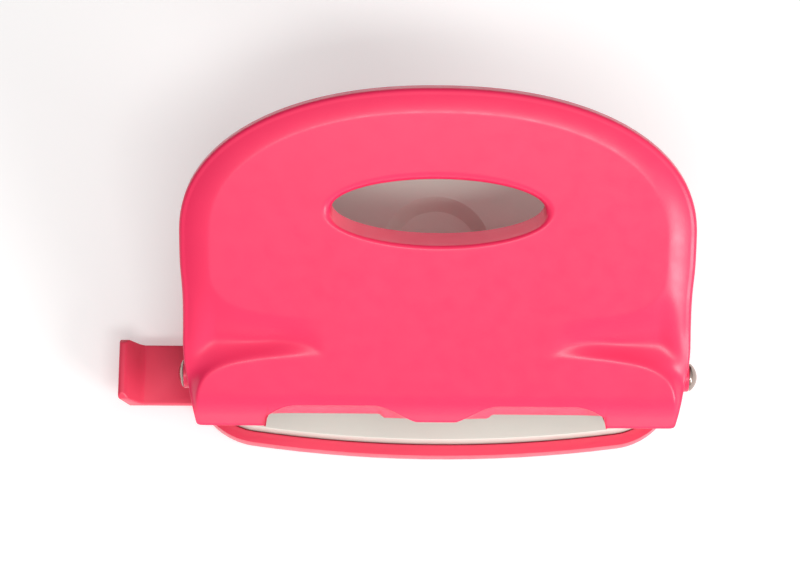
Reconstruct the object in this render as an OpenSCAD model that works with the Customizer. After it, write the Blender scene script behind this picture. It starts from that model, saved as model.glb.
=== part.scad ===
// Two-hole desk punch: a hinged handle over two sprung punch pins, on a steel
// base plate with a sliding paper guide and a hinged chip tray below.
// +X is right, +Y is back, +Z is up. The origin is on the table, midway
// between the pins across the width and midway along the depth of the tray.

/* [Punching] */
// Distance between the two punched holes
hole_pitch = 80; // [80:1:80]
// Diameter of a punch pin
pin_d = 5.5; // [5:0.1:6]
// Distance of the holes from the edge of the sheet
hole_margin = 12; // [11:0.5:13]
// Height of the gap that takes the paper
paper_gap = 3.4; // [2.5:0.1:3.6]

/* [Base] */
// Width of the base plate
plate_w = 112.4; // [108:0.2:114]
// Depth of the base plate
plate_depth = 71.6; // [70:0.2:76]
// Height of the top of the base plate above the table
plate_top = 9; // [8.6:0.1:10]
// Thickness of the sheet steel of the base plate
plate_t = 1.2; // [1:0.1:1.4]
// Radius of the long curve of the front edge
front_r = 320; // [280:5:400]

/* [Handle] */
// Angle of the handle above the table at rest
handle_tilt = 33.5; // [33:0.5:34]
// Width of the handle at its widest
handle_w = 121.6; // [120:0.2:123]
// Length of the handle from the axle to its back edge
handle_reach = 71.9; // [71:0.1:72]
// Length of the handle in front of the axle
handle_front = 12; // [11.6:0.1:13]
// Height of the flat top face above the axle
handle_rise = 8.5; // [8.3:0.1:9]
// Wall thickness of the handle
handle_wall = 2.2; // [2:0.1:2.4]
// Width of the oval grip hole
grip_w = 50; // [48:0.2:53]
// Length of the grip hole from front to back
grip_l = 14.4; // [13:0.2:16]

/* [Paper guide] */
// Length of the guide strip
guide_l = 112; // [105:1:116]
// Width of the guide strip
guide_w = 15; // [14:0.1:15]
// Height of the paper stop at the end of the guide
stop_h = 7.8; // [7:0.1:9]

/* [Hidden] */
$fn = 48;
eps = 0.01;

// Colours
pink = "#f54a72";
steel = "#a8a8a8";
plate_grey = "#d8d6cc";
rubber = "#3a3a3a";

// Axle
axle = [-23.5, 23];
axle_r = 2;
axle_fit = 0.05;
axle_head_r = 3.25;
axle_head_l = 2.1;
axle_head_dome = 4.2;
axle_cap_l = 1.4;
axle_cap_dome = 5;
axle_head_in = 0.4;
head_seat_r = 3.5;

// Pins
pin_x = hole_pitch / 2;
pin_y = -9;
pin_r = pin_d / 2;
pin_fit = 0.05;
pin_tip = plate_top + paper_gap + 0.7;
pin_dome_r = 4;
pin_dome_z = 29.22;
throat_y = pin_y + hole_margin;

// Brackets: sheet steel cheeks with an upper and a lower guide flange
sheet = 1.3;
cheek_in = 5;
cheek_out = cheek_in + sheet;
flange_top = 26;
flange_low = plate_top + paper_gap;
flange_low_t = 1.5;
bracket_lobe_r = 4.4;
foot_back = 19;
foot_half = 13;
rivet_x = 9.7;
rivet_y = 12;
rivet_r = 1.6;

// Clip, washer and spring on each pin
clip_t = 0.8;
clip_top = flange_top - sheet - 0.2;
washer_t = 0.6;
groove_r = pin_r - 0.45;
spring_low = flange_low + flange_low_t;
spring_high = clip_top - clip_t - washer_t;
spring_r = 3.5;
wire_r = 0.3;
spring_turns = 5.5;

// Lever arms under the handle, in the handle's own frame
pad_low = 1.6;
pad_high = 2.7;
pad_front = 8;
pad_back = 24;
arm_in = cheek_out + 0.4;
arm_out = arm_in + sheet;
screw_y = 20.5;
screw_x = 4.3;
screw_r = 1.25;
screw_head_r = 2.2;
boss_r = 2.9;
screw_top = 6.8;

// Handle outline and its raised shapes
half_w = handle_w / 2;
wide_y = handle_reach - 35.4;
back_n = 2.2;
front_n = 60;
taper = 3;
waist_in = 0.5;
waist = 0.6;
waist_y = 21;
waist_l = 6;
rim_w = 7.3;
rim_back = 5.5;
rim_drop = 3;
panel_front = 20;
panel_front_n = 5;
hood_half = 56.9;
hood_y = -12;
hood_l = 19.4;
hood_n = 5;
hood_drop = 4.2;
tip_slope = 0.2;
hood_slope = 1.1;
flank_slope = 2.2;
valley_from = 26;
valley_to = 40;
lip_start = -2;
lip_r = 10;
lip_arc = 6.4;
window_pull = 6.8;
step_pull = 1.05;
tab_pull = 1.6;
grip_y = wide_y + 6.5;
grip_collar = 7;
grip_round = 2.3;
ear_low = -6;

// Base
plate_low = plate_top - plate_t;
lip_low = 3.9;
tray_low = 0.8;
tray_floor = 1.4;
tray_top = 4.6;
tray_wall = 2.6;
tray_grow = 3;
front_corner = 14;
back_corner = 24;
dish_r = 13.5;
dish_y = 13;
dish_deep = 3;
hinge_y = plate_depth / 2 + 1.8;
hinge_z = 4;
hinge_x = 34;
hinge_r = 0.9;
knuckle_r = 1.6;
ear_w = 5;
notch_l = 9;
pad_size = [86, 48];
pad_corner = 8;
pad_t = 1.2;

// Guide
guide_mid = -19.6;
guide_low = 5.7;
guide_t = 1.8;
guide_end = -77.2;
stop_t = 2.2;
stop_lean = 2.4;
channel_x = [-36.5, -20];
channel_t = 1;
recess_x = -58;
recess_w = 10;
recess_t = 0.7;

// Smooth helpers
function clamp(v, lo, hi) = min(max(v, lo), hi);
function ease(v, lo, hi) = let (t = clamp((v - lo) / (hi - lo), 0, 1)) t * t * (3 - 2 * t);
function ray_xy(a, b, n, dx, dy) =
    let (k = pow(pow(abs(dx) / a, n) + pow(abs(dy) / b, n), -1 / n)) [dx * k, dy * k];
// Distance outside a superellipse, zero inside it
function oval_gap(x, y, a, b, n) =
    let (u = pow(abs(x) / a, n) + pow(abs(y) / b, n), f = pow(max(u, 0.001), 1 / n),
         gx = pow(abs(x), n - 1) / pow(a, n), gy = pow(abs(y), n - 1) / pow(b, n))
    f <= 1 ? 0 : (f - 1) / (pow(f, 1 - n) * sqrt(gx * gx + gy * gy));

// Height of the handle's top skin: a bevelled disc and a raised hood at its
// front, which meet flush in the middle and part at a valley on each shoulder
function disc_gap(x, y) = y >= wide_y
    ? oval_gap(x, y - wide_y, half_w - rim_w, handle_reach - wide_y - rim_back, back_n)
    : oval_gap(x, (y - wide_y) * (1 - 0.3 * ease(abs(x), 52, 59)), half_w - rim_w, panel_front, panel_front_n);
function disc_fall(x, y) = let (t = min(disc_gap(x, y) / rim_w, 1.3)) rim_drop * t * (0.45 + 0.55 * t);
function back_slope(x) = tip_slope + (hood_slope - tip_slope) * ease(abs(x), 27, 45);
function hood_fall(x, y) = let (back = back_slope(x),
                                gap = y > hood_y ? oval_gap(x, y - hood_y, hood_half, hood_l, hood_n)
                                                 : max(abs(x) - hood_half, 0))
    min(hood_drop, gap * (back + (flank_slope - back) * ease(-y, -6, 2)));
function either(a, b) = a < 0.001 || b < 0.001 ? 0 : a * b / pow(pow(a, 5) + pow(b, 5), 0.2);
function shoulder_fall(x, y) =
    either(disc_fall(x, y) * (y > wide_y ? 1 : ease(abs(x), valley_from, valley_to)), hood_fall(x, y));
function lip_fall(y) = let (q = max(lip_start - y, 0), s = lip_arc / sqrt(lip_r * lip_r - lip_arc * lip_arc))
    q <= lip_arc ? lip_r - sqrt(lip_r * lip_r - q * q)
                 : lip_r - sqrt(lip_r * lip_r - lip_arc * lip_arc) + s * (q - lip_arc);
function skin_z(x, y) = handle_rise - shoulder_fall(x, y) - lip_fall(y);

// Paper windows cut into the front lip, one each side of a middle tab: how far
// back the skin's edge runs, and how far back the foot of the wall below it
function window_end(x) = 1 - ease(abs(x), 39.6, 40.9);
function window(x) = let (u = clamp((abs(x) - 33) / 7, 0, 1.2), t = clamp((abs(x) - 4.6) / 10.5, 0, 1))
    (tab_pull + (window_pull - tab_pull) * ease(pow(t, 0.75), 0, 1))
    * (1 - 0.45 * u * u) * window_end(x);
function window_foot(x) =
    (tab_pull + step_pull * ease(abs(x), 12.3, 13.8)) * window_end(x);
// Moves a front point back by a depth that fades out towards the axle
function fade(y) = pow(clamp((4 - y) / 16, 0, 1), 1.5);
function cut_back(p) = p + [0, window(p.x) * fade(p.y)];

// How much each side of the handle draws in: a waist, then a taper to the front
function narrowing(y) = waist * exp(-pow((y - waist_y) / waist_l, 2)) + waist_in * ease(-y, -22, -12)
    + taper * ease(-y, -9, 14);

// One point of the handle's outline, for a direction a, pulled in by inset
function outline(a, inset) =
    let (dx = half_w * cos(a), dy = 41 * sin(a),
         p = dy >= 0 ? ray_xy(half_w - inset, handle_reach - wide_y - inset, back_n, dx, dy)
                     : ray_xy(half_w - inset, wide_y + handle_front - inset, front_n, dx, dy),
         y = p.y + wide_y)
    [p.x - sign(p.x) * min(abs(p.x) / half_w, 1) * narrowing(y), y];
function grip_edge(a, grow) =
    [(grip_w / 2 + grow) * cos(a), grip_y + (grip_l / 2 + grow) * sin(a)];
function skirt_z(x, y) =
    let (ear = ease(y, -8, -2) * (1 - ease(y, 10, 34)),
         back = 3.2 * ease(y, 30, 60), front = skin_z(x, y) - handle_wall * 0.6)
    y < -8 ? front : (1 - ear) * (y < 0 ? front : back) + ear * ear_low;

// The handle shell as rings: from the grip hole over the top skin, down the
// skirt and back along the inside
rays = 144;
top_steps = [0, 0.06, 0.16, 0.28, 0.4, 0.52, 0.63, 0.72, 0.79, 0.85, 0.9, 0.95, 1];
function mix(p, q, t) = p + (q - p) * t;
function top_ring(t) = [for (i = [0 : rays - 1])
    let (a = 360 * (i + 0.5) / rays, p = cut_back(mix(grip_edge(a, grip_round), outline(a, 0), t)))
    [p.x, p.y, skin_z(p.x, p.y)]];
function skirt_ring(inset, z_up) = [for (i = [0 : rays - 1])
    let (a = 360 * (i + 0.5) / rays, o = outline(a, inset),
         p = o + [0, window_foot(o.x) * fade(o.y)])
    [p.x, p.y, min(skirt_z(o.x, o.y), skin_z(p.x, p.y) - 0.6) + z_up]];
function inner_ring(t) = [for (i = [0 : rays - 1])
    let (a = 360 * (i + 0.5) / rays,
         p = cut_back(mix(grip_edge(a, grip_round), outline(a, handle_wall + 0.3), t)))
    [p.x, p.y, skin_z(p.x, p.y) - handle_wall]];
function collar_ring(grow, z) = [for (i = [0 : rays - 1])
    let (p = grip_edge(360 * (i + 0.5) / rays, grow)) [p.x, p.y, z]];
shell_rings = concat(
    [collar_ring(0, handle_rise - grip_collar), collar_ring(0, handle_rise - grip_round),
     collar_ring(0.3 * grip_round, handle_rise - 0.3 * grip_round)],
    [for (t = top_steps) top_ring(t)],
    [skirt_ring(0, 0), skirt_ring(handle_wall, 0)],
    [for (t = [1, 0.85, 0.7, 0.45, 0]) inner_ring(t)],
    [collar_ring(1.8, handle_rise - grip_collar)]);

module ring_shell(rings) {
    n = len(rings);
    m = len(rings[0]);
    points = [for (r = rings) each r];
    faces = [for (j = [0 : n - 1], i = [0 : m - 1])
        let (a = j * m + i, b = j * m + (i + 1) % m, c = ((j + 1) % n) * m + i,
             d = ((j + 1) % n) * m + (i + 1) % m)
        each [[a, b, d], [a, d, c]]];
    polyhedron(points, faces, convexity = 8);
}

module on_handle() {
    translate([0, axle.x, axle.y]) rotate([handle_tilt, 0, 0]) children();
}

// A cylinder along X from x0 to x1 through the origin of the YZ plane
module along_x(x0, x1, r) {
    translate([x0, 0, 0]) rotate([0, 90, 0]) cylinder(h = x1 - x0, r = r);
}

// A flat plate in the YZ plane, from x0 to x1, with its outline drawn as [y, z]
module cheek(x0, x1) {
    translate([x0, 0, 0]) rotate([90, 0, 90]) linear_extrude(x1 - x0) children();
}

module handle_cover() {
    color(pink) on_handle() difference() {
        union() {
            ring_shell(shell_rings);
            for (side = [-1, 1], x = [-screw_x, screw_x])
                translate([side * pin_x + x, screw_y, pad_high])
                    cylinder(h = handle_rise - pad_high - 1, r = boss_r);
            // Flat seats for the axle's heads
            along_x(-half_w + axle_head_in, -half_w + 5.5, head_seat_r);
            along_x(half_w - 5.5, half_w - axle_head_in, head_seat_r);
        }
        along_x(-half_w - 5, half_w + 5, axle_r);
        for (side = [-1, 1], x = [-screw_x, screw_x])
            translate([side * pin_x + x, screw_y, 0]) cylinder(h = screw_top, r = screw_r);
    }
}

module lever_arm(side) {
    color(steel) on_handle() translate([side * pin_x, 0, 0]) difference() {
        union() {
            for (x0 = [-arm_out, arm_in]) cheek(x0, x0 + sheet) {
                circle(r = bracket_lobe_r);
                polygon([[0, -bracket_lobe_r], [pad_back, -1], [pad_back, pad_high],
                         [3, pad_high]]);
            }
            translate([-arm_out, pad_front, pad_low])
                cube([2 * arm_out, pad_back - pad_front, pad_high - pad_low]);
        }
        along_x(-arm_out - 1, arm_out + 1, axle_r);
        for (x = [-screw_x, screw_x])
            translate([x, screw_y, pad_low - 1]) cylinder(h = 4, r = screw_r);
    }
}

module lever_screws() {
    color(steel) on_handle() for (side = [-1, 1], x = [-screw_x, screw_x])
        translate([side * pin_x + x, screw_y, 0]) {
            cylinder(h = pad_low, r = screw_head_r);
            cylinder(h = screw_top, r = screw_r);
        }
}

module axle_pin() {
    color(steel) on_handle() {
        along_x(-half_w - 0.2, half_w + 0.2, axle_r);
        axle_head(1, axle_head_l, axle_head_dome);
    }
}

// Domed head that sits on the side of the handle
module axle_head(side, length, dome) {
    translate([side * (half_w - axle_head_in), 0, 0]) rotate([0, side * 90, 0]) rotate_extrude()
        intersection() {
            translate([0, length - dome]) circle(r = dome, $fn = 96);
            square([axle_head_r, length]);
        }
}

module axle_cap() {
    color(steel) on_handle() difference() {
        axle_head(-1, axle_cap_l, axle_cap_dome);
        along_x(-half_w - 0.2, 0, axle_r);
    }
}

module axle_spacers() {
    color("ivory") on_handle() for (side = [-1, 1]) difference() {
        along_x(side > 0 ? pin_x + arm_out + 0.1 : -half_w + 5.6,
                side > 0 ? half_w - 5.6 : -pin_x - arm_out - 0.1, 3.4);
        along_x(-half_w, half_w, axle_r);
    }
}

module bracket(side) {
    color(steel) translate([side * pin_x, 0, 0]) difference() {
        union() {
            for (x0 = [-cheek_out, cheek_in]) cheek(x0, x0 + sheet) {
                translate(axle) circle(r = bracket_lobe_r);
                polygon([[axle.x - bracket_lobe_r, axle.y], [axle.x - bracket_lobe_r, flange_low],
                         [throat_y, flange_low], [throat_y, plate_top], [foot_back, plate_top],
                         [foot_back, plate_top + 4], [9, flange_top], [-16, flange_top],
                         [axle.x, axle.y]]);
            }
            translate([-cheek_out, -14.2, flange_top - sheet])
                cube([2 * cheek_out, 23.2, sheet]);
            translate([-cheek_out, -14.2, flange_low])
                cube([2 * cheek_out, 10.4, flange_low_t]);
            translate([-cheek_out, throat_y, plate_top])
                cube([2 * cheek_out, sheet, flange_low - plate_top + flange_low_t]);
            translate([-foot_half, 5, plate_top])
                cube([2 * foot_half, foot_back - 5, sheet]);
        }
        translate([0, axle.x, axle.y]) along_x(-cheek_out - 1, cheek_out + 1, axle_r + axle_fit);
        translate([0, pin_y, plate_top]) cylinder(h = 30, r = pin_r + pin_fit);
        for (x = [-rivet_x, rivet_x])
            translate([x, rivet_y, plate_top - 1]) cylinder(h = 4, r = rivet_r);
    }
}

module bracket_rivets() {
    color(steel) for (side = [-1, 1], x = [-rivet_x, rivet_x])
        translate([side * pin_x + x, rivet_y, 0]) {
            translate([0, 0, plate_low]) cylinder(h = plate_t + sheet, r = rivet_r);
            translate([0, 0, plate_low - 0.7]) cylinder(h = 0.7, r = 2.6);
            translate([0, 0, plate_top + sheet]) rotate_extrude() intersection() {
                translate([0, -2.2]) circle(r = 3.4);
                square([2.7, 2]);
            }
        }
}

// Plan outline shared by the base plate and the tray, pulled in or grown out:
// a long front arc that runs tangent into its corners, and rounder back corners
module plan(grow) {
    w = plate_w / 2 + grow;
    y1 = plate_depth / 2 + grow;
    rf = front_corner + grow;
    rb = back_corner + grow;
    arc_r = front_r + grow;
    arc_y = front_r - plate_depth / 2;
    corner_y = arc_y - sqrt(pow(front_r - front_corner, 2) - pow(w - rf, 2));
    meet_x = (w - rf) * arc_r / (arc_r - rf);
    intersection() {
        union() {
            translate([-w, corner_y]) square([2 * w, y1 - rb - corner_y]);
            translate([-w + rb, corner_y]) square([2 * (w - rb), y1 - corner_y]);
            translate([-meet_x, -y1 - 1]) square([2 * meet_x, y1 + 1]);
            for (s = [-1, 1]) {
                translate([s * (w - rf), corner_y]) circle(r = rf, $fn = 96);
                translate([s * (w - rb), y1 - rb]) circle(r = rb, $fn = 96);
            }
        }
        translate([0, arc_y]) circle(r = arc_r, $fn = 720);
    }
}

module base_plate() {
    color(plate_grey) difference() {
        union() {
            difference() {
                translate([0, 0, lip_low]) linear_extrude(plate_top - lip_low) plan(0);
                translate([0, 0, lip_low - 1]) linear_extrude(plate_low - lip_low + 1)
                    plan(-plate_t);
            }
            translate([0, dish_y, plate_low - dish_deep]) cylinder(h = dish_deep + eps,
                r1 = dish_r - dish_deep + 1, r2 = dish_r + 1);
            for (x = [-hinge_x, hinge_x]) {
                translate([x - ear_w / 2, plate_depth / 2 - 1, hinge_z - knuckle_r])
                    cube([ear_w, 2.8, 2 * knuckle_r]);
                translate([0, hinge_y, hinge_z])
                    along_x(x - ear_w / 2, x + ear_w / 2, knuckle_r);
            }
        }
        translate([0, dish_y, plate_top - dish_deep])
            cylinder(h = dish_deep + eps, r1 = dish_r - dish_deep, r2 = dish_r);
        for (x = [-pin_x, pin_x]) {
            translate([x, pin_y, 0]) cylinder(h = 12, r = pin_r + pin_fit);
            for (dx = [-rivet_x, rivet_x])
                translate([x + dx, rivet_y, 0]) cylinder(h = 12, r = rivet_r);
        }
        // Notch in the left lip for the paper guide
        translate([-plate_w / 2 - 1, guide_mid - guide_w / 2 - 0.4, 0])
            cube([notch_l, guide_w + 0.8, plate_low]);
        for (x = [-hinge_x, hinge_x])
            translate([x - 5, hinge_y, hinge_z]) along_x(0, 10, hinge_r + axle_fit);
    }
}

module punch_pin(side) {
    color(steel) translate([side * pin_x, pin_y, 0]) difference() {
        union() {
            translate([0, 0, pin_tip]) cylinder(h = pin_dome_z + 2 - pin_tip, r = pin_r);
            intersection() {
                translate([0, 0, pin_dome_z]) sphere(r = pin_dome_r);
                translate([0, 0, pin_dome_z + 1]) cylinder(h = 4, r = pin_r);
            }
        }
        // Groove for the clip
        translate([0, 0, clip_top - clip_t]) difference() {
            cylinder(h = clip_t, r = pin_r + 1);
            translate([0, 0, -1]) cylinder(h = clip_t + 2, r = groove_r);
        }
        // Hollow-ground cutting end
        translate([0, 0, pin_tip - 5.2]) rotate([90, 0, 0])
            cylinder(h = 10, r = 6, center = true);
    }
}

// One coil spring, as a tube swept along a helix whose ends lie flat
function coil_at(t) = let (
    rise = clamp((t - 0.75) / (spring_turns - 1.5), 0, 1),
    z0 = spring_low + wire_r, z1 = spring_high - wire_r)
    [spring_r * cos(360 * t), spring_r * sin(360 * t),
     z0 + (z1 - z0) * (0.12 * t / spring_turns + 0.88 * rise)];
module pin_spring(side) {
    steps = 88;
    sides = 6;
    points = [for (k = [0 : steps]) let (t = spring_turns * k / steps, c = coil_at(t))
        for (s = [0 : sides - 1]) let (b = 360 * s / sides)
            [c.x + wire_r * cos(b) * cos(360 * t), c.y + wire_r * cos(b) * sin(360 * t),
             c.z + wire_r * sin(b)]];
    walls = [for (k = [0 : steps - 1], s = [0 : sides - 1])
        let (a = k * sides + s, b = k * sides + (s + 1) % sides)
        each [[a, b, b + sides], [a, b + sides, a + sides]]];
    ends = [[for (s = [0 : sides - 1]) sides - 1 - s],
            [for (s = [0 : sides - 1]) steps * sides + s]];
    color(steel) translate([side * pin_x, pin_y, 0]) polyhedron(points, concat(walls, ends));
}

module pin_clip(side) {
    color(steel) translate([side * pin_x, pin_y, clip_top - clip_t]) difference() {
        cylinder(h = clip_t, r = 4.4);
        translate([0, 0, -1]) cylinder(h = clip_t + 2, r = groove_r + 0.03);
        translate([-1.9, -6, -1]) cube([3.8, 6, clip_t + 2]);
    }
}

module pin_washer(side) {
    color(steel) translate([side * pin_x, pin_y, clip_top - clip_t - washer_t]) difference() {
        cylinder(h = washer_t, r = 4.4);
        translate([0, 0, -1]) cylinder(h = washer_t + 2, r = pin_r + 0.02);
    }
}

// Guide strip whose left end turns up into a paper stop that leans outwards
module paper_guide() {
    y0 = guide_mid - guide_w / 2;
    x0 = guide_end + stop_lean;
    top = guide_low + stop_h;
    floor_z = guide_low + guide_t;
    color(pink) difference() {
        union() {
            translate([x0, y0, guide_low]) cube([guide_end + guide_l - x0, guide_w, guide_t]);
            // The stop, seen from the front, with a fillet at its foot
            translate([0, y0 + guide_w, 0]) rotate([90, 0, 0]) linear_extrude(guide_w)
                polygon([[x0, guide_low], [x0 + stop_t + 1.4, guide_low], [x0 + stop_t + 1.4, floor_z],
                         [x0 + stop_t + 0.2, floor_z + 1], [guide_end + stop_t, top - 0.6],
                         [guide_end + stop_t - 0.6, top], [guide_end + 0.6, top], [guide_end, top - 0.6]]);
        }
        // Shallow recess along the strip
        translate([recess_x, guide_mid - recess_w / 2, floor_z - recess_t])
            cube([guide_l - 20, recess_w, 1]);
        // Bevels on the stop's upper corners
        for (y = [y0, y0 + guide_w]) translate([x0, y, top]) rotate([45, 0, 0])
            cube([2 * (stop_lean + stop_t), 1.6, 1.6], center = true);
    }
}

module guide_channel() {
    y0 = guide_mid - guide_w / 2 - 0.3;
    w = guide_w + 0.6;
    color(steel) translate([channel_x[0], 0, 0]) cheek(0, channel_x[1] - channel_x[0])
        difference() {
            translate([y0 - channel_t, guide_low - 0.2 - channel_t])
                square([w + 2 * channel_t, plate_low - guide_low + 0.2 + channel_t]);
            translate([y0, guide_low - 0.2]) square([w, 4]);
        }
}

module chip_tray() {
    color(pink) difference() {
        union() {
            difference() {
                translate([0, 0, tray_low]) linear_extrude(tray_top - tray_low) plan(tray_grow);
                translate([0, 0, tray_low + tray_floor]) linear_extrude(tray_top)
                    plan(tray_grow - tray_wall);
            }
            for (x = [-hinge_x, hinge_x], s = [-1, 1])
                translate([x + s * 4.2 - 1.5, hinge_y, hinge_z]) along_x(0, 3, knuckle_r);
        }
        for (x = [-hinge_x, hinge_x]) {
            translate([x - 2.7, hinge_y - 2.2, hinge_z - 2]) cube([5.4, 6, 4]);
            translate([x - 8, hinge_y, hinge_z]) along_x(0, 16, hinge_r);
        }
        translate([0, 0, -1]) pad_block(pad_t + 1);
    }
}

// Non-slip pad with round corners, let into the underside of the tray
module pad_block(h) {
    w = pad_size.x / 2 - pad_corner;
    l = pad_size.y / 2 - pad_corner;
    linear_extrude(h) {
        square([2 * w, pad_size.y], center = true);
        square([pad_size.x, 2 * l], center = true);
        for (x = [-w, w], y = [-l, l]) translate([x, y]) circle(r = pad_corner);
    }
}

module tray_hinge_pins() {
    color(steel) for (x = [-hinge_x, hinge_x])
        translate([x - 6, hinge_y, hinge_z]) along_x(0, 12, hinge_r);
}

module grip_pad() {
    color(rubber) pad_block(pad_t);
}

handle_cover();
lever_arm(-1);  // lever_arm_left
lever_arm(1);  // lever_arm_right
lever_screws();
axle_pin();
axle_cap();
axle_spacers();
bracket(-1);  // bracket_left
bracket(1);  // bracket_right
bracket_rivets();
base_plate();
punch_pin(-1);  // punch_pin_left
punch_pin(1);  // punch_pin_right
pin_spring(-1);  // pin_spring_left
pin_spring(1);  // pin_spring_right
pin_clip(-1);  // pin_clip_left
pin_clip(1);  // pin_clip_right
pin_washer(-1);  // pin_washer_left
pin_washer(1);  // pin_washer_right
paper_guide();
guide_channel();
chip_tray();
tray_hinge_pins();
grip_pad();
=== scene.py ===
"""Looks of a two-hole desk punch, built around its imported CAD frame.

The handle shell and its bosses, the two springs and a ledge in the chip tray
are built here. Every other piece is the CAD mesh with its edges rounded. Lengths
are in millimetres in the shape functions and turn into metres in make_piece.
"""
import math

import bmesh
import bpy
import numpy as np
from mathutils import Matrix, Vector


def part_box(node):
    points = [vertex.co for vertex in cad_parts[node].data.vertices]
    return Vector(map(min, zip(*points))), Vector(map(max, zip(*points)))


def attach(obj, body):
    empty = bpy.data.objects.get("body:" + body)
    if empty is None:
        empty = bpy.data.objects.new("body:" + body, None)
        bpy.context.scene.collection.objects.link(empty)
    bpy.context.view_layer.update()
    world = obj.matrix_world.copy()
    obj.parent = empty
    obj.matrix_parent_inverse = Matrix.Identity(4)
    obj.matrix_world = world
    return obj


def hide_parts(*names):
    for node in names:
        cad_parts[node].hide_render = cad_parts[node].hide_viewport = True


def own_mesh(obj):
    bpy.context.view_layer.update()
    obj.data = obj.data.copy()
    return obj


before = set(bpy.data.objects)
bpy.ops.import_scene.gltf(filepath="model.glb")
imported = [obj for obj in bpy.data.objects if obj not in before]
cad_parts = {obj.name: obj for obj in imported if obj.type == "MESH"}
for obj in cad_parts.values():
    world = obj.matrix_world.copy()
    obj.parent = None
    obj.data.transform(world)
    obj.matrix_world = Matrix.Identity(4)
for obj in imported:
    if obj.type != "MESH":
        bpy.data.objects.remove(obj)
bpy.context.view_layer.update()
MM = 0.001


def box_mm(node):
    """A CAD node's lowest and highest corners, in millimetres."""
    lo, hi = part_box(node)
    return np.array(lo) / MM, np.array(hi) / MM


# ---------------------------------------------------------------- dimensions
TILT = math.radians(33.5)
HALF_W = 60.8
REACH, FRONT, RISE, WALL = 71.9, 12.0, 8.5, 2.2
WIDE_Y = 36.5
BACK_N, FRONT_N = 2.2, 120.0
TAPER, WAIST_IN = 3.0, 0.5
WAIST, WAIST_Y, WAIST_L = 0.6, 21.0, 6.0
RIM_W, RIM_BACK, RIM_DROP = 7.3, 5.5, 3.0
PANEL_FRONT, PANEL_N = 20.0, 5.0
HOOD_HALF, HOOD_Y, HOOD_L, HOOD_N, HOOD_DROP = 56.9, -12.0, 19.4, 5.0, 4.2
TIP_SLOPE, HOOD_SLOPE, FLANK_SLOPE = 0.2, 1.1, 2.2
VALLEY_FROM, VALLEY_TO = 26.0, 40.0
LIP_START, LIP_R, LIP_ARC = -2.0, 10.0, 6.4
WINDOW_PULL, STEP_PULL, TAB_PULL = 6.8, 1.05, 1.6
WINDOW_END_FROM, WINDOW_END_TO = 40.1, 40.9
GRIP_W, GRIP_L, GRIP_COLLAR, GRIP_ROUND, GRIP_DRAFT = 25.0, 7.2, 7.0, 2.3, 1.3
GRIP_Y = WIDE_Y + 6.5
EAR_LOW = -6.0
EDGE_R, FRONT_EDGE_R = 1.2, 0.4
RAY_OVAL_Y = 41.0
PIN_X, PIN_Y, PLATE_TOP = 40.0, -9.0, 9.0
PLATE_W, PLATE_D, ARC_R, FRONT_CORNER = 112.4, 71.6, 320.0, 14.0
SCREW_X, SCREW_Y, SCREW_R, BOSS_R, PAD_HIGH = 4.3, 20.5, 1.25, 2.9, 2.7
HEAD_SEAT_R, SEAT_IN, AXLE_HOLE_R = 3.5, 5.4, 2.05
SPRING_KEEP, LEDGE_Z = 0.35, 3.6

CAMERA_AT = (-0.0088, -0.2162, 0.7236)
CAMERA_DOWN, CAMERA_ROLL, LENS = math.radians(73.08), math.radians(0.45), 136.3

axle_lo, axle_hi = box_mm("axle_spacers")
AXLE_Y, AXLE_Z = (axle_lo[1] + axle_hi[1]) / 2, (axle_lo[2] + axle_hi[2]) / 2


# ------------------------------------------------------------- shape helpers
def ease(v, lo, hi):
    t = np.clip((v - lo) / (hi - lo), 0, 1)
    return t * t * (3 - 2 * t)


def oval_gap(x, y, a, b, n):
    """Distance outside a superellipse, zero inside it."""
    u = (np.abs(x) / a) ** n + (np.abs(y) / b) ** n
    f = np.maximum(u, 1e-3) ** (1 / n)
    gx = np.abs(x) ** (n - 1) / a**n
    gy = np.abs(y) ** (n - 1) / b**n
    slope = f ** (1 - n) * np.sqrt(gx * gx + gy * gy)
    return np.where(f <= 1, 0, (f - 1) / np.maximum(slope, 1e-9))


def softened(g, r):
    """A gap that starts with a small fillet of size r instead of a crease."""
    return np.sqrt(g * g + r * r) - r


def disc_fall(x, y):
    """How far the bevelled rim falls below the flat disc."""
    back = oval_gap(x, y - WIDE_Y, HALF_W - RIM_W, REACH - WIDE_Y - RIM_BACK, BACK_N)
    reach = (y - WIDE_Y) * (1 - 0.3 * ease(np.abs(x), 52, 59))
    front = oval_gap(x, reach, HALF_W - RIM_W, PANEL_FRONT, PANEL_N)
    t = np.minimum(softened(np.where(y >= WIDE_Y, back, front), 0.35) / RIM_W, 1.3)
    return RIM_DROP * t * (0.45 + 0.55 * t)


def hood_fall(x, y):
    """How far the wall round the front hood falls below its top."""
    g = np.where(y > HOOD_Y, oval_gap(x, y - HOOD_Y, HOOD_HALF, HOOD_L, HOOD_N),
                 np.maximum(np.abs(x) - HOOD_HALF, 0))
    back = TIP_SLOPE + (HOOD_SLOPE - TIP_SLOPE) * ease(np.abs(x), 27, 45)
    flank = ease(-y, -6, 2)
    drop = HOOD_DROP + 1.5 * flank
    return drop * (1 - np.exp(-softened(g, 0.6) / drop * (back + (FLANK_SLOPE - back) * flank)))


def shoulder_fall(x, y):
    """The rim falls from the disc and a wall falls from the hood: the higher one shows."""
    a = disc_fall(x, y) * np.where(y > WIDE_Y, 1, ease(np.abs(x), VALLEY_FROM, VALLEY_TO))
    a, b = np.maximum(a, 1e-4), np.maximum(hood_fall(x, y), 1e-4)
    return a * b / (a**5 + b**5) ** 0.2


def lip_fall(y):
    """How far the front lip curls down."""
    q = np.maximum(LIP_START - y, 0)
    slope = LIP_ARC / math.sqrt(LIP_R**2 - LIP_ARC**2)
    inside = np.minimum(q, LIP_ARC)
    return LIP_R - np.sqrt(LIP_R**2 - inside**2) + slope * np.maximum(q - LIP_ARC, 0)


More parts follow.
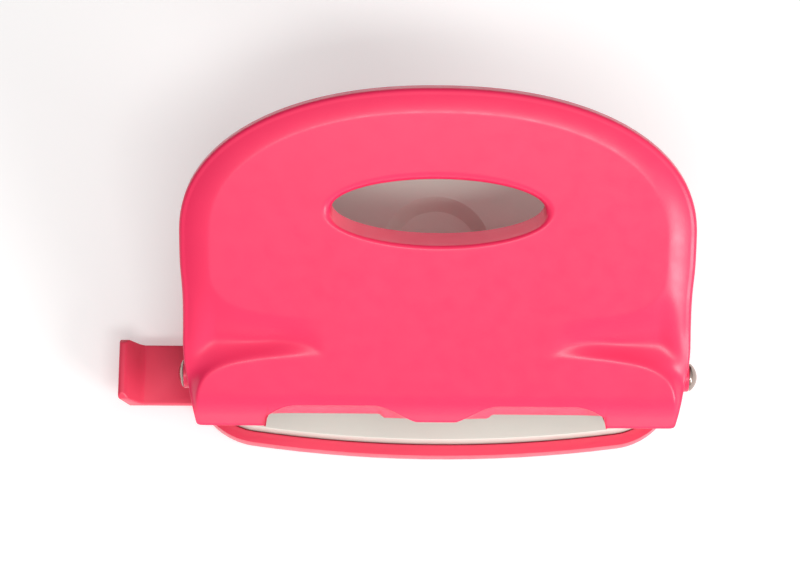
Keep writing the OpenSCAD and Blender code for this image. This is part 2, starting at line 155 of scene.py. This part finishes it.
def skin_z(x, y):
    """Height of the handle's top skin."""
    return RISE - shoulder_fall(x, y) - lip_fall(y)


def window_end(x):
    """One over the windows, zero beyond their outer ends."""
    return 1 - ease(np.abs(x), WINDOW_END_FROM, WINDOW_END_TO)


def window(x):
    """How far back the skin's front edge runs, over each paper window."""
    u = np.clip((np.abs(x) - 33) / 7, 0, 1.2)
    t = np.clip((np.abs(x) - 4.6) / 10.5, 0, 1)
    arch = TAB_PULL + (WINDOW_PULL - TAB_PULL) * ease(t**0.75, 0, 1)
    return arch * (1 - 0.45 * u * u) * window_end(x)


def window_foot(x):
    """How far back the foot of the wall below that edge runs."""
    return (TAB_PULL + STEP_PULL * ease(np.abs(x), 12.3, 13.8)) * window_end(x)


def cut_back(p, depth):
    """Moves front points back by a depth that fades out towards the axle."""
    share = np.clip((4 - p[:, 1]) / 16, 0, 1) ** 1.5
    return p + np.column_stack([0 * share, depth(p[:, 0]) * share])


def outline(a, inset):
    """The handle's outline for directions a, pulled in by inset."""
    w = HALF_W - inset
    dx, dy = HALF_W * np.cos(a), RAY_OVAL_Y * np.sin(a)
    h = np.where(dy >= 0, REACH - WIDE_Y, WIDE_Y + FRONT) - inset
    n = np.where(dy >= 0, BACK_N, FRONT_N)
    k = ((np.abs(dx) / w) ** n + (np.abs(dy) / h) ** n) ** (-1 / n)
    x, y = dx * k, dy * k + WIDE_Y
    # A waist on each side, then a taper towards the front
    drawn_in = (WAIST * np.exp(-((y - WAIST_Y) / WAIST_L) ** 2) + WAIST_IN * ease(-y, -22, -12)
                + TAPER * ease(-y, -9, 14))
    return np.stack([x - np.sign(x) * np.minimum(np.abs(x) / HALF_W, 1) * drawn_in, y], -1)


def grip_edge(a, grow):
    """The grip hole's outline, grown outwards by one amount or by one for each direction."""
    return np.stack([(GRIP_W + grow) * np.cos(a), GRIP_Y + (GRIP_L + grow) * np.sin(a)], -1)


def skirt_z(x, y):
    """Height of the foot of the handle's wall, lowest at the axle's ears."""
    ear = ease(y, -8, -2) * (1 - ease(y, 10, 34))
    back = 3.2 * ease(y, 30, 60)
    front = skin_z(x, y) - WALL * 0.6
    base = np.where(y < 0, front, back)
    return np.where(y < -8, front, (1 - ear) * base + ear * EAR_LOW)


def on_handle(points):
    """Handle coordinates (origin on the axle, y along the slab) to the frame's."""
    c, s = math.cos(TILT), math.sin(TILT)
    p = np.asarray(points, float)
    return np.stack([p[..., 0], AXLE_Y + p[..., 1] * c - p[..., 2] * s,
                     AXLE_Z + p[..., 1] * s + p[..., 2] * c], -1)


# --------------------------------------------------------------- mesh makers
def make_piece(name, points, faces, material, body, node=None, smooth=35):
    """A mesh piece from millimetre points that rides on a body."""
    mesh = bpy.data.meshes.new(name)
    mesh.from_pydata((np.asarray(points, float) * MM).tolist(), [], [list(f) for f in faces])
    mesh.validate()
    mesh.materials.append(material)
    piece = bpy.data.objects.new(name, mesh)
    bpy.context.scene.collection.objects.link(piece)
    if smooth:
        mesh.shade_smooth()
        mesh.set_sharp_from_angle(angle=math.radians(smooth))
    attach(piece, body)
    if node:
        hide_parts(node)
    return piece


def ring_faces(n, m, closed=True):
    """Quads between n rings of m points; closed joins the last ring to the first."""
    j, i = np.meshgrid(np.arange(n if closed else n - 1), np.arange(m), indexing="ij")
    a, b = j * m + i, j * m + (i + 1) % m
    c, d = (j + 1) % n * m + i, (j + 1) % n * m + (i + 1) % m
    return np.stack([a, b, d, c], -1).reshape(-1, 4)


# ------------------------------------------------------------------ materials
def new_material(name):
    mat = bpy.data.materials.new(name)
    mat.use_nodes = True
    tree = mat.node_tree
    return mat, tree, tree.nodes["Principled BSDF"]


def noise(tree, scale, detail=3.0, rough=0.5):
    place = tree.nodes.get("Texture Coordinate") or tree.nodes.new("ShaderNodeTexCoord")
    tex = tree.nodes.new("ShaderNodeTexNoise")
    tex.inputs["Scale"].default_value = scale
    tex.inputs["Detail"].default_value = detail
    tex.inputs["Roughness"].default_value = rough
    tree.links.new(place.outputs["Object"], tex.inputs["Vector"])
    return tex


def ramp(tree, source, stops):
    node = tree.nodes.new("ShaderNodeValToRGB")
    elements = node.color_ramp.elements
    while len(elements) < len(stops):
        elements.new(0.5)
    for e, (at, value) in zip(elements, stops):
        e.position = at
        e.color = (*value, 1) if isinstance(value, tuple) else (value, value, value, 1)
    tree.links.new(source, node.inputs["Fac"])
    return node.outputs["Color"]


def bump(tree, bsdf, height, strength, distance):
    node = tree.nodes.new("ShaderNodeBump")
    node.inputs["Strength"].default_value = strength
    node.inputs["Distance"].default_value = distance
    tree.links.new(height, node.inputs["Height"])
    tree.links.new(node.outputs["Normal"], bsdf.inputs["Normal"])


def moulded_plastic(name, colour, rough):
    """Satin moulded plastic: a fine spark-eroded grain and faint flow marks."""
    mat, tree, bsdf = new_material(name)
    dark = tuple(c * 0.95 for c in colour)
    tree.links.new(ramp(tree, noise(tree, 45).outputs["Fac"], [(0.35, dark), (0.65, colour)]),
                   bsdf.inputs["Base Color"])
    tree.links.new(ramp(tree, noise(tree, 260).outputs["Fac"],
                        [(0.3, rough - 0.04), (0.7, rough + 0.04)]),
                   bsdf.inputs["Roughness"])
    bump(tree, bsdf, noise(tree, 2600, 2).outputs["Fac"], 0.18, 0.00006)
    bsdf.inputs["Specular IOR Level"].default_value = 0.5
    return mat


def powder_coat(name, colour):
    """Powder-coated sheet: an orange-peel skin."""
    mat, tree, bsdf = new_material(name)
    dark = tuple(c * 0.96 for c in colour)
    tree.links.new(ramp(tree, noise(tree, 60).outputs["Fac"], [(0.35, dark), (0.65, colour)]),
                   bsdf.inputs["Base Color"])
    tree.links.new(ramp(tree, noise(tree, 400).outputs["Fac"], [(0.3, 0.36), (0.7, 0.46)]),
                   bsdf.inputs["Roughness"])
    bump(tree, bsdf, noise(tree, 1500, 2).outputs["Fac"], 0.25, 0.00008)
    return mat


def metal(name, colour, rough, stretch=(1, 1, 1), scale=700):
    """Bare or plated metal with fine streaks along the direction of least stretch."""
    mat, tree, bsdf = new_material(name)
    bsdf.inputs["Metallic"].default_value = 1.0
    tex = noise(tree, scale, 4)
    fit = tree.nodes.new("ShaderNodeMapping")
    fit.inputs["Scale"].default_value = stretch
    tree.links.new(tree.nodes["Texture Coordinate"].outputs["Object"], fit.inputs["Vector"])
    tree.links.new(fit.outputs["Vector"], tex.inputs["Vector"])
    dark = tuple(c * 0.86 for c in colour)
    tree.links.new(ramp(tree, tex.outputs["Fac"], [(0.3, dark), (0.7, colour)]),
                   bsdf.inputs["Base Color"])
    tree.links.new(ramp(tree, tex.outputs["Fac"], [(0.3, rough - 0.06), (0.7, rough + 0.08)]),
                   bsdf.inputs["Roughness"])
    bump(tree, bsdf, tex.outputs["Fac"], 0.12, 0.00005)
    return mat


def matt_rubber(name, colour):
    mat, tree, bsdf = new_material(name)
    tree.links.new(ramp(tree, noise(tree, 300).outputs["Fac"],
                        [(0.3, colour), (0.7, tuple(c * 1.5 for c in colour))]),
                   bsdf.inputs["Base Color"])
    tree.links.new(ramp(tree, noise(tree, 500).outputs["Fac"], [(0.3, 0.75), (0.7, 0.9)]),
                   bsdf.inputs["Roughness"])
    bump(tree, bsdf, noise(tree, 1800, 2).outputs["Fac"], 0.4, 0.0001)
    return mat


PINK = (0.92, 0.026, 0.112)
HANDLE_PINK = moulded_plastic("handle_pink", PINK, 0.32)
TRAY_PINK = moulded_plastic("tray_pink", (0.86, 0.055, 0.115), 0.34)
PLATE_GREY = powder_coat("plate_grey", (0.76, 0.78, 0.70))
ZINC = metal("zinc", (0.62, 0.60, 0.56), 0.34)
HEAD_STEEL = metal("head_steel", (0.44, 0.35, 0.31), 0.20)
PIN_STEEL = metal("pin_steel", (0.70, 0.70, 0.70), 0.20, (1, 1, 8))
SPRING_STEEL = metal("spring_steel", (0.45, 0.45, 0.46), 0.3)
NYLON = moulded_plastic("nylon", (0.80, 0.78, 0.70), 0.5)
RUBBER = matt_rubber("rubber", (0.03, 0.03, 0.03))


# --------------------------------------------------------------------- pieces
def shell_rays(count):
    """Directions round the handle, closest together at the windows' outer ends."""
    fine = np.linspace(0, 2 * math.pi, 20001)
    p = outline(fine, 0)
    near = np.exp(-(((np.abs(p[:, 0]) - 40.5) / 2.5) ** 2)) * (p[:, 1] < 0)
    run = np.concatenate([[0], np.cumsum(1 + 2.5 * (near[1:] + near[:-1]) / 2)])
    return np.interp((np.arange(count) + 0.5) / count * run[-1], run, fine)


def handle_shell():
    rays = 800
    a = shell_rays(rays)
    edge0 = outline(a, 0)
    round_r = FRONT_EDGE_R + (EDGE_R - FRONT_EDGE_R) * ease(edge0[:, 1], -6, 20)

    def at(p, z):
        return np.column_stack([p, np.broadcast_to(z, len(p))])

    def edge(inset, down=0.0):
        """The outline with its windows, from the skin's edge to the wall's foot."""
        return cut_back(outline(a, inset),
                        lambda x: window(x) + (window_foot(x) - window(x)) * down)

    def rounded(share):
        """The outline pulled in by a share of its edge radius, ray by ray."""
        near, far = outline(a, 0), outline(a, EDGE_R)
        return cut_back(near + (far - near) * (round_r * share / EDGE_R)[:, None], window)

    rings = []
    # The hole's front wall leans forward as it rises, which leaves its lip less round
    lean = GRIP_DRAFT * ease(-np.sin(a), -0.1, 0.5)
    lip = GRIP_ROUND - lean
    for t in (0, 0.25, 0.5, 0.75):
        rings.append(at(grip_edge(a, lean * t), RISE - GRIP_COLLAR + t * (GRIP_COLLAR - lip)))
    for ang in np.radians(np.arange(0, 90, 12)):
        rings.append(at(grip_edge(a, lean + lip * (1 - math.cos(ang))),
                        RISE - lip * (1 - math.sin(ang))))
    inner = grip_edge(a, GRIP_ROUND)
    near_edge = outline(a, 0) + (outline(a, EDGE_R) - outline(a, 0)) * (round_r / EDGE_R)[:, None]
    for t in np.linspace(0, 1, 80):
        p = cut_back(inner + (near_edge - inner) * t, window)
        rings.append(at(p, skin_z(p[:, 0], p[:, 1])))
    outer = rounded(1)
    z_edge = skin_z(outer[:, 0], outer[:, 1])
    for ang in np.radians([20, 40, 60, 75, 90]):
        rings.append(at(rounded(1 - math.sin(ang)), z_edge - round_r * (1 - math.cos(ang))))
    low = np.minimum(skirt_z(edge0[:, 0], edge0[:, 1]), z_edge - round_r - 0.7)
    top = z_edge - round_r
    for t in (0.2, 0.4, 0.6, 0.8, 0.93):
        rings.append(at(edge(0, t), top + (low - top) * t))
    for inset in (0.3, WALL - 0.3):
        rings.append(at(edge(inset, 1), low))
    under = edge(WALL + 0.3)
    z_under = skin_z(under[:, 0], under[:, 1]) - WALL
    for t in (0.1, 0.4, 0.7):
        rings.append(at(edge(WALL, 1 - t), low + (z_under - low) * t))
    far = outline(a, WALL + 0.3)
    for t in np.linspace(1, 0, 14):
        p = cut_back(inner + (far - inner) * t, window)
        rings.append(at(p, skin_z(p[:, 0], p[:, 1]) - WALL))
    rings.append(at(grip_edge(a, 1.8), RISE - GRIP_COLLAR + 0.3))
    rings.append(at(grip_edge(a, 1.5), RISE - GRIP_COLLAR))
    points = on_handle(np.array(rings)).reshape(-1, 3)
    make_piece("handle_shell", points, ring_faces(len(rings), rays), HANDLE_PINK,
               "handle", "handle_cover", smooth=50)


def corner_edges(bm, lowest=math.radians(28)):
    """Edges that fold by more than the lowest angle."""
    return [e for e in bm.edges if len(e.link_faces) == 2 and e.calc_face_angle(0) > lowest]


def softened_copy(node, body, material, width, segments=2, wide=None):
    """A CAD node's mesh with its edges rounded to width mm. wide = (test, mm, segments)
    rounds the edges whose middle passes the test first, and further."""
    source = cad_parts[node]
    bm = bmesh.new()
    bm.from_mesh(source.data)
    bmesh.ops.transform(bm, matrix=source.matrix_world, verts=bm.verts)
    bmesh.ops.remove_doubles(bm, verts=bm.verts, dist=2e-6)
    bmesh.ops.dissolve_limit(bm, angle_limit=math.radians(0.4), verts=bm.verts, edges=bm.edges)
    rounds = [(lambda mid, out: True, width, segments)]
    if wide:
        rounds.insert(0, wide)
    for test, size, steps in rounds:
        edges = [e for e in corner_edges(bm)
                 if test((e.verts[0].co + e.verts[1].co) / 2 / MM,
                         e.link_faces[0].normal + e.link_faces[1].normal)]
        bmesh.ops.bevel(bm, geom=edges, offset=size * MM, segments=steps, profile=0.5,
                        affect="EDGES", clamp_overlap=True)
    mesh = bpy.data.meshes.new(node + "_soft")
    bm.to_mesh(mesh)
    bm.free()
    mesh.materials.clear()
    mesh.materials.append(material)
    mesh.shade_smooth()
    mesh.set_sharp_from_angle(angle=math.radians(32))
    piece = bpy.data.objects.new(node + "_soft", mesh)
    bpy.context.scene.collection.objects.link(piece)
    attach(piece, body)
    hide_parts(node)


def shell_bosses():
    """Bosses moulded on the shell: four for the arms' screws and a seat for each axle head."""
    steps = 48
    around = 2 * math.pi * np.arange(steps) / steps
    rings, faces = [], []
    for x in (-PIN_X - SCREW_X, -PIN_X + SCREW_X, PIN_X - SCREW_X, PIN_X + SCREW_X):
        base = len(rings) * steps
        shape = [(BOSS_R + 0.7, RISE - WALL + 0.4), (BOSS_R + 0.1, RISE - WALL - 0.5),
                 (BOSS_R, PAD_HIGH + 0.3), (BOSS_R - 0.3, PAD_HIGH + 0.02),
                 (SCREW_R + 0.05, PAD_HIGH + 0.02), (SCREW_R + 0.05, RISE - WALL + 0.4)]
        for r, z in shape:
            rings.append(np.column_stack([x + r * np.cos(around), SCREW_Y + r * np.sin(around),
                                          np.full(steps, z)]))
        faces.append(ring_faces(len(shape), steps) + base)
    for side in (-1, 1):
        base = len(rings) * steps
        for r, x in [(HEAD_SEAT_R - 0.2, HALF_W - SEAT_IN), (HEAD_SEAT_R, HALF_W - SEAT_IN + 0.1),
                     (HEAD_SEAT_R, HALF_W - 0.6), (HEAD_SEAT_R - 0.2, HALF_W - 0.4),
                     (AXLE_HOLE_R, HALF_W - 0.4), (AXLE_HOLE_R, HALF_W - SEAT_IN)]:
            rings.append(np.column_stack([np.full(steps, side * x), r * np.cos(side * around),
                                          r * np.sin(side * around)]))
        faces.append(ring_faces(6, steps) + base)
    make_piece("shell_bosses", on_handle(np.array(rings)).reshape(-1, 3),
               np.concatenate(faces), HANDLE_PINK, "handle")


def pin_spring(side, node):
    """A round-wire coil with closed ends; the mesh keeps one length."""
    lo, hi = box_mm(node)
    turns, per_turn, sides, wire = 5.5, 40, 14, 0.3
    t = np.linspace(0, turns, int(turns * per_turn) + 1)
    rise = np.clip((t - 0.75) / (turns - 1.5), 0, 1)
    radius = (hi[0] - lo[0]) / 2 - wire
    low, high = lo[2] + wire, hi[2] - wire
    height = low + (high - low) * (0.12 * t / turns + 0.88 * rise)
    turn = 2 * math.pi * t
    b = 2 * math.pi * np.arange(sides) / sides
    reach = radius + wire * np.cos(b)[None, :]
    points = np.stack([side * PIN_X + reach * np.cos(turn)[:, None],
                       PIN_Y + reach * np.sin(turn)[:, None],
                       height[:, None] + wire * np.sin(b)[None, :]], -1).reshape(-1, 3)
    faces = [list(f) for f in ring_faces(len(t), sides, closed=False)]
    last = (len(t) - 1) * sides
    faces += [list(range(sides))[::-1], [last + k for k in range(sides)]]
    piece = make_piece(node + "_wire", points, faces, SPRING_STEEL, "base", node)
    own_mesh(piece)


def front_path(grow):
    """The plate's front outline from side to side, grown outwards: a long arc
    that runs into round corners."""
    corner_x = PLATE_W / 2 - FRONT_CORNER
    arc_y = ARC_R - PLATE_D / 2
    corner_y = arc_y - math.sqrt((ARC_R - FRONT_CORNER) ** 2 - corner_x**2)
    lean = math.atan2(corner_x, arc_y - corner_y)
    t = np.linspace(0, lean, 40)
    arc = np.column_stack([(ARC_R + grow) * np.sin(t), arc_y - (ARC_R + grow) * np.cos(t)])
    t = np.linspace(lean - math.pi / 2, 0, 30)[1:]
    r = FRONT_CORNER + grow
    corner = np.column_stack([corner_x + r * np.cos(t), corner_y + r * np.sin(t)])
    right = np.concatenate([arc, corner])
    return np.concatenate([right[:0:-1] * (-1, 1), right])


def tray_ledge():
    """The step inside the tray's front rim, just under the plate's lip."""
    shape = [(1.2, 2.4), (1.2, LEDGE_Z), (-1.4, LEDGE_Z), (-1.8, LEDGE_Z - 0.4), (-1.8, 2.4)]
    loops = [np.column_stack([front_path(g), np.full(len(front_path(g)), z)]) for g, z in shape]
    points = np.stack(loops, 1).reshape(-1, 3)
    n, m = len(loops[0]), len(shape)
    faces = [list(f) for f in ring_faces(n, m, closed=False)]
    faces += [list(range(m))[::-1], [(n - 1) * m + k for k in range(m)]]
    make_piece("tray_ledge", points, faces, TRAY_PINK, "tray")


def plate_fold(mid, out):
    """The fold where the plate's top turns down into its lip."""
    return mid.z > PLATE_TOP - 0.05 and max(abs(mid.x) / 52, abs(mid.y) / 28) > 1


def tray_outside(mid, out):
    """The outer edges of the tray's rim and foot."""
    faces_out = out.x * mid.x + out.y * mid.y > 0
    rim = mid.z > 4.5 and mid.y < 36.5
    foot = mid.z < 0.9 and max(abs(mid.x) / 48, abs(mid.y) / 28) > 1
    return faces_out and (rim or foot)


def camera_and_light():
    """The camera, a white table and the studio's light."""
    scene = bpy.context.scene
    cam = bpy.data.objects.new("camera", bpy.data.cameras.new("camera"))
    scene.collection.objects.link(cam)
    scene.camera = cam
    cam.data.sensor_width = 36
    cam.data.lens = LENS
    cam.location = CAMERA_AT
    turn = (Matrix.Rotation(math.pi / 2 - CAMERA_DOWN, 3, "X")
            @ Matrix.Rotation(CAMERA_ROLL, 3, "Z"))
    cam.rotation_euler = turn.to_euler()
    cam.data.clip_start, cam.data.clip_end = 0.05, 20
    scene.view_settings.view_transform = "Standard"

    floor = bpy.data.meshes.new("floor")
    size = 3.0
    corners = [(-size, -size, 0), (size, -size, 0), (size, size, 0), (-size, size, 0)]
    floor.from_pydata(corners, [], [(0, 1, 2, 3)])
    mat, tree, bsdf = new_material("floor_white")
    bsdf.inputs["Base Color"].default_value = (0.86, 0.855, 0.85, 1)
    bsdf.inputs["Roughness"].default_value = 0.7
    bsdf.inputs["Emission Color"].default_value = (1, 0.99, 0.985, 1)
    bsdf.inputs["Emission Strength"].default_value = 0.30
    floor.materials.append(mat)
    plane = bpy.data.objects.new("floor", floor)
    scene.collection.objects.link(plane)

    world = bpy.data.worlds.new("studio")
    scene.world = world
    world.use_nodes = True
    tree = world.node_tree
    back = tree.nodes["Background"]
    back.inputs["Color"].default_value = (1.0, 0.985, 0.985, 1)
    way = tree.nodes.new("ShaderNodeTexCoord")
    facing = tree.nodes.new("ShaderNodeVectorMath")
    facing.operation = "DOT_PRODUCT"
    facing.inputs[1].default_value = Vector((0.45, -0.62, 0.60)).normalized()
    level = tree.nodes.new("ShaderNodeMapRange")
    level.interpolation_type = "SMOOTHSTEP"
    for key, value in (("From Min", -0.35), ("From Max", 0.95), ("To Min", 0.07), ("To Max", 0.85)):
        level.inputs[key].default_value = value
    tree.links.new(way.outputs["Generated"], facing.inputs[0])
    tree.links.new(facing.outputs["Value"], level.inputs["Value"])
    tree.links.new(level.outputs["Result"], back.inputs["Strength"])

    def lamp(name, place, target, size, power):
        data = bpy.data.lights.new(name, "AREA")
        data.shape, data.energy = "RECTANGLE", power
        data.size, data.size_y = size
        obj = bpy.data.objects.new(name, data)
        scene.collection.objects.link(obj)
        obj.location = place
        aim = Vector(target) - Vector(place)
        obj.rotation_euler = aim.to_track_quat("-Z", "Y").to_euler()

    lamp("key", (0.80, -0.75, 0.60), (0, 0, 0.03), (0.4, 0.4), 6)
    lamp("high front", (0.10, -0.56, 0.96), (0, 0, 0.03), (0.55, 0.16), 3.6)


camera_and_light()
handle_shell()
shell_bosses()
softened_copy("base_plate", "base", PLATE_GREY, 0.22, 2, (plate_fold, 1.4, 6))
softened_copy("chip_tray", "tray", TRAY_PINK, 0.15, 2, (tray_outside, 0.8, 4))
tray_ledge()
softened_copy("paper_guide", "guide", TRAY_PINK, 0.35, 3)
for side in ("left", "right"):
    softened_copy("bracket_" + side, "base", ZINC, 0.3, 2)
    softened_copy("lever_arm_" + side, "handle", ZINC, 0.25, 2)
    softened_copy("pin_clip_" + side, "pin_" + side, SPRING_STEEL, 0.12, 1)
    softened_copy("pin_washer_" + side, "pin_" + side, ZINC, 0.1, 1)
    softened_copy("punch_pin_" + side, "pin_" + side, PIN_STEEL, 0.1, 1)
    pin_spring(-1 if side == "left" else 1, "pin_spring_" + side)
softened_copy("guide_channel", "base", ZINC, 0.2, 1)
softened_copy("bracket_rivets", "base", ZINC, 0.2, 2)
softened_copy("lever_screws", "handle", ZINC, 0.25, 2)
softened_copy("tray_hinge_pins", "tray", ZINC, 0.15, 1)
softened_copy("axle_pin", "handle", HEAD_STEEL, 0.15, 2)
softened_copy("axle_cap", "handle", HEAD_STEEL, 0.15, 2)
softened_copy("axle_spacers", "handle", NYLON, 0.3, 2)
softened_copy("grip_pad", "tray", RUBBER, 0.3, 2)
